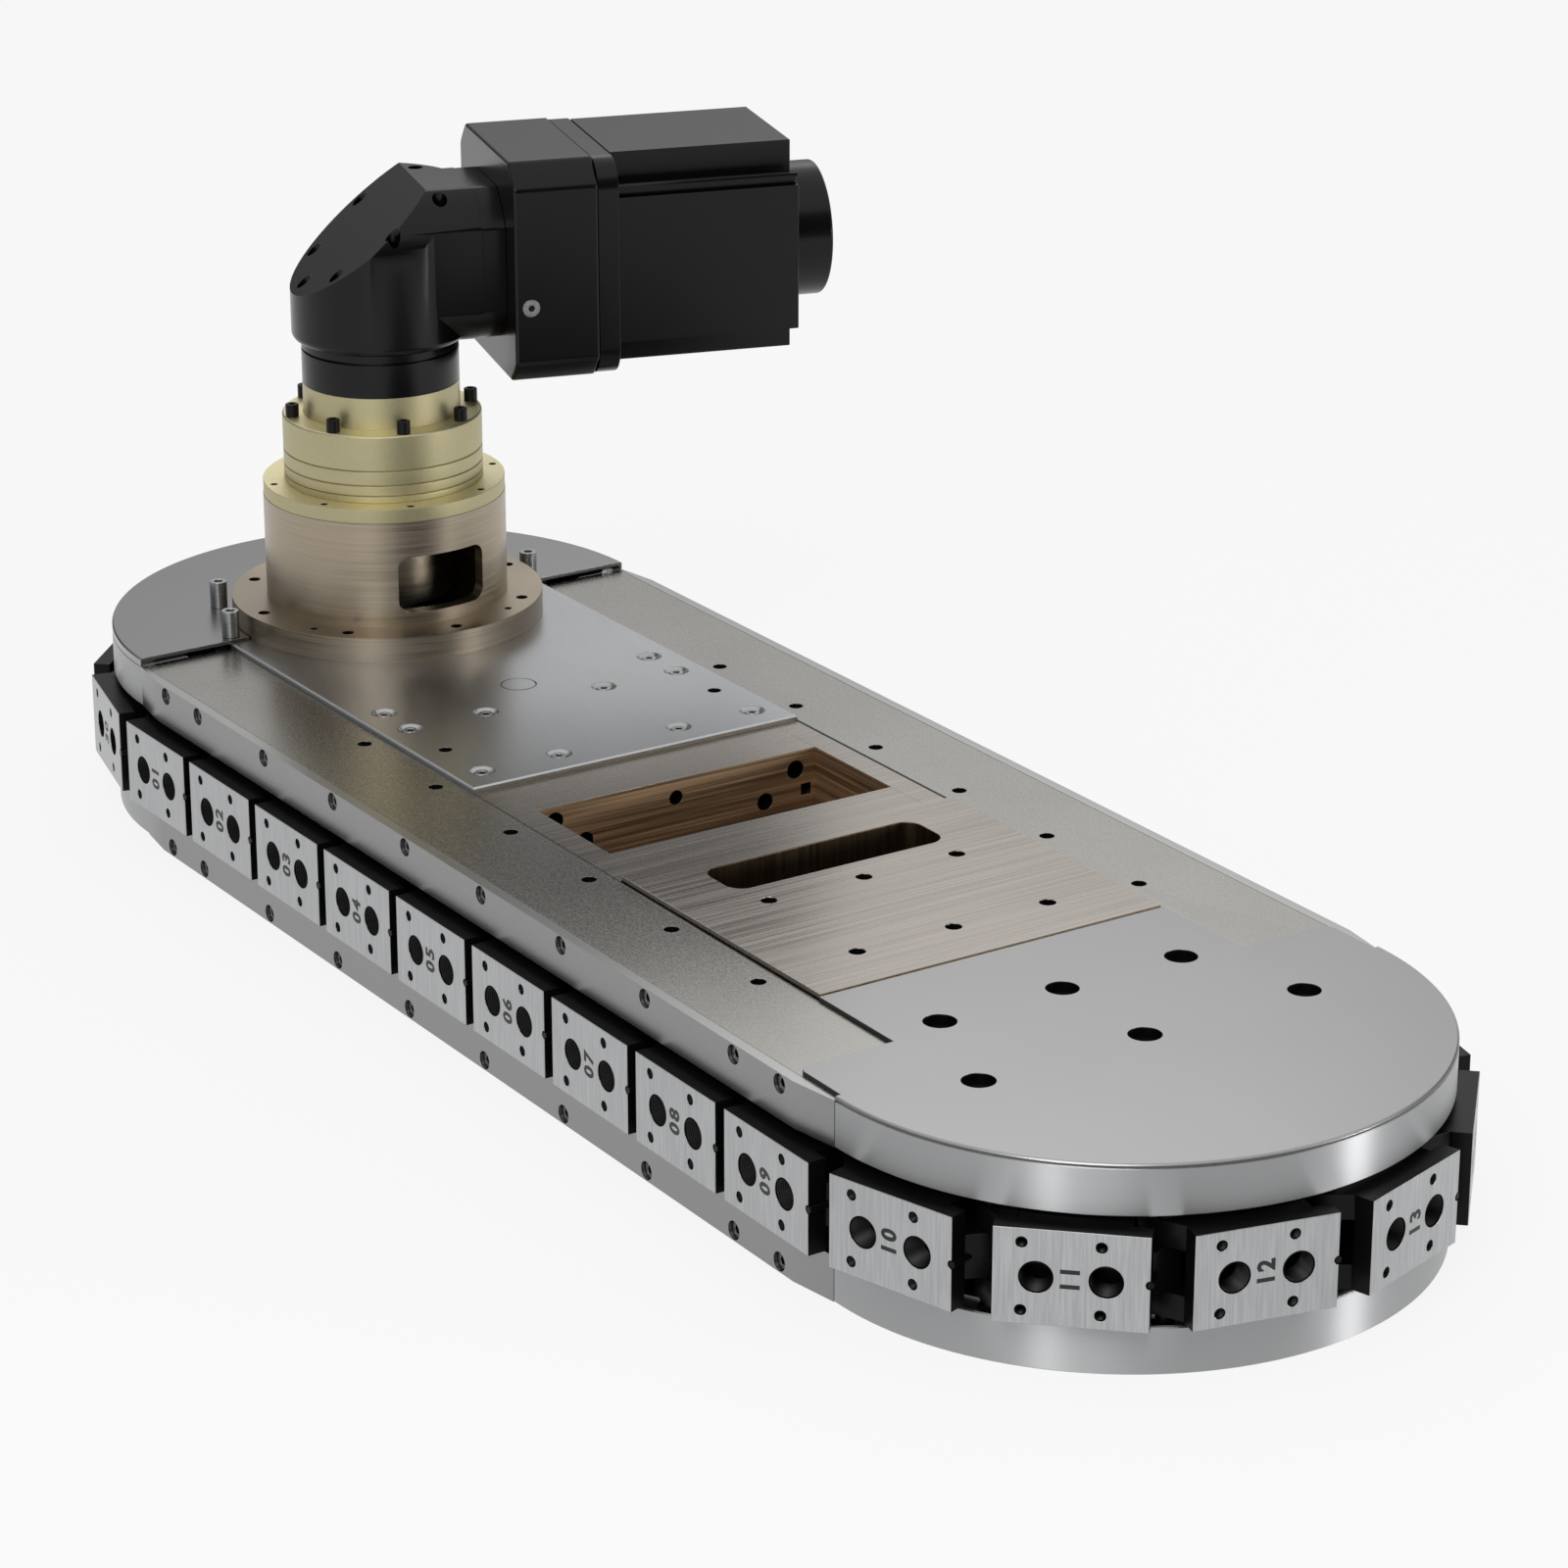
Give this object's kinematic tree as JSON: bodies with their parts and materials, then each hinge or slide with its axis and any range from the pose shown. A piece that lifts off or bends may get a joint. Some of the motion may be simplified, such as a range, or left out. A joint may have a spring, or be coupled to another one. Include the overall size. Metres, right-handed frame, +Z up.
{
  "type": "oval link conveyor",
  "caption": "Oval link conveyor: flat-faced hinged carriages run in a racetrack guide, driven at one end by an upright shaft with lantern, right-angle gearbox and motor.",
  "frame": {"origin": "midway between the two wheel axes, on the underside of the base", "axes": "+X along the oval towards the idler end, +Y towards the far run, +Z up"},
  "size_m": [1.3412, 0.5545, 0.4842],
  "materials": {
    "warm_plate": "fine brushed",
    "satin_plate": "satin",
    "bright_plate": "brushed",
    "rail_steel": "ground",
    "ring_steel": "polished",
    "wheel_steel": "turned",
    "coupling_steel": "turned",
    "lantern_metal": "turned",
    "gearbox_gold": "anodised",
    "gearbox_black": "satin",
    "carriage_black": "anodised, with milled faces"
  },
  "bodies": {
    "frame": {"base_plate": "warm_plate", "side_bar_near": "warm_plate", "side_bar_far": "warm_plate", "cross_block_drive": "warm_plate", "cross_block_idler": "warm_plate", "lower_rail_near": "rail_steel", "lower_rail_far": "rail_steel", "upper_rail_near": "rail_steel", "upper_rail_far": "rail_steel", "top_strip_near": "satin_plate", "top_strip_far": "satin_plate", "lower_ring_drive": "ring_steel", "lower_ring_idler": "ring_steel", "upper_ring_drive": "ring_steel", "upper_ring_idler": "ring_steel", "drive_plate": "bright_plate", "deck_plug": "bright_plate", "drive_cover": "satin_plate", "cover_screws": "wheel_steel", "idler_plate": "warm_plate", "idler_cover": "satin_plate", "tension_plate": "warm_plate", "idler_axle": "wheel_steel", "drive_bearings": "wheel_steel", "lantern_housing": "lantern_metal", "adapter_flange": "gearbox_gold", "gearbox_output": "gearbox_gold", "gearbox_neck": "gearbox_black", "gearbox_body": "gearbox_black", "gearbox_input_flange": "gearbox_black", "motor_adapter": "gearbox_black", "clamp_plug": "wheel_steel", "motor": "gearbox_black", "motor_cap": "gearbox_black"},
    "drive_wheel": {"drive_wheel_hub": "wheel_steel", "drive_pocket_discs": "wheel_steel", "drive_shaft": "wheel_steel", "coupling": "coupling_steel", "gearbox_output_shaft": "wheel_steel"},
    "idler_wheel": {"idler_wheel_hub": "wheel_steel", "idler_pocket_discs": "wheel_steel", "idler_bearings": "wheel_steel"},
    "near_run": {"carriages_near_run": "carriage_black"},
    "far_run": {"carriages_far_run": "carriage_black"},
    "idler_turn": {"carriages_idler_turn": "carriage_black"},
    "drive_turn": {"carriages_drive_turn": "carriage_black"},
    "link_idler_near": {"link_idler_near": "carriage_black"},
    "link_idler_far": {"link_idler_far": "carriage_black"},
    "link_drive_far": {"link_drive_far": "carriage_black"},
    "link_drive_near": {"link_drive_near": "carriage_black"}
  },
  "joints": [
    {"name": "drive_wheel_turn", "type": "hinge", "parent": "frame", "child": "drive_wheel", "pos_m": [-0.45, 0, 0.065], "axis": [0, 0, 1], "range_deg": [-1.6, 8.4]},
    {"name": "idler_wheel_turn", "type": "hinge", "parent": "frame", "child": "idler_wheel", "pos_m": [0.45, 0, 0.065], "axis": [0, 0, 1], "range_deg": [-1.6, 8.4]},
    {"name": "drive_turn_travel", "type": "hinge", "parent": "frame", "child": "drive_turn", "pos_m": [-0.45, 0, 0.065], "axis": [0, 0, 1], "range_deg": [-1.6, 8.4]},
    {"name": "idler_turn_travel", "type": "hinge", "parent": "frame", "child": "idler_turn", "pos_m": [0.45, 0, 0.065], "axis": [0, 0, 1], "range_deg": [-1.6, 8.4]},
    {"name": "near_run_travel", "type": "slide", "parent": "frame", "child": "near_run", "axis": [1, 0, 0], "range_m": [-0.0055, 0.0283]},
    {"name": "far_run_travel", "type": "slide", "parent": "frame", "child": "far_run", "axis": [-1, 0, 0], "range_m": [-0.0055, 0.0283]},
    {"name": "link_idler_near_pivot", "type": "hinge", "parent": "idler_turn", "child": "link_idler_near", "pos_m": [0.45539, -0.19311, 0.065], "axis": [0, 0, 1], "range_deg": [-7.1, 1.5]},
    {"name": "link_drive_far_pivot", "type": "hinge", "parent": "drive_turn", "child": "link_drive_far", "pos_m": [-0.45539, 0.19311, 0.065], "axis": [0, 0, 1], "range_deg": [-7.1, 1.5]},
    {"name": "link_idler_far_pivot", "type": "hinge", "parent": "far_run", "child": "link_idler_far", "pos_m": [0.44461, 0.19318, 0.065], "axis": [0, 0, 1], "range_deg": [-1.5, 7.1]},
    {"name": "link_drive_near_pivot", "type": "hinge", "parent": "near_run", "child": "link_drive_near", "pos_m": [-0.44461, -0.19318, 0.065], "axis": [0, 0, 1], "range_deg": [-1.5, 7.1]}
  ],
  "couplings": [
    {"joint": "idler_wheel_turn", "follows": "drive_wheel_turn", "ratio": 1},
    {"joint": "drive_turn_travel", "follows": "drive_wheel_turn", "ratio": 1},
    {"joint": "idler_turn_travel", "follows": "drive_wheel_turn", "ratio": 1},
    {"joint": "near_run_travel", "follows": "drive_wheel_turn", "m_per_rad": 0.1917},
    {"joint": "far_run_travel", "follows": "drive_wheel_turn", "m_per_rad": 0.1917},
    {"joint": "link_idler_near_pivot", "follows": "drive_wheel_turn", "ratio": -0.83},
    {"joint": "link_drive_far_pivot", "follows": "drive_wheel_turn", "ratio": -0.83},
    {"joint": "link_idler_far_pivot", "follows": "drive_wheel_turn", "ratio": 0.828},
    {"joint": "link_drive_near_pivot", "follows": "drive_wheel_turn", "ratio": 0.828}
  ]
}
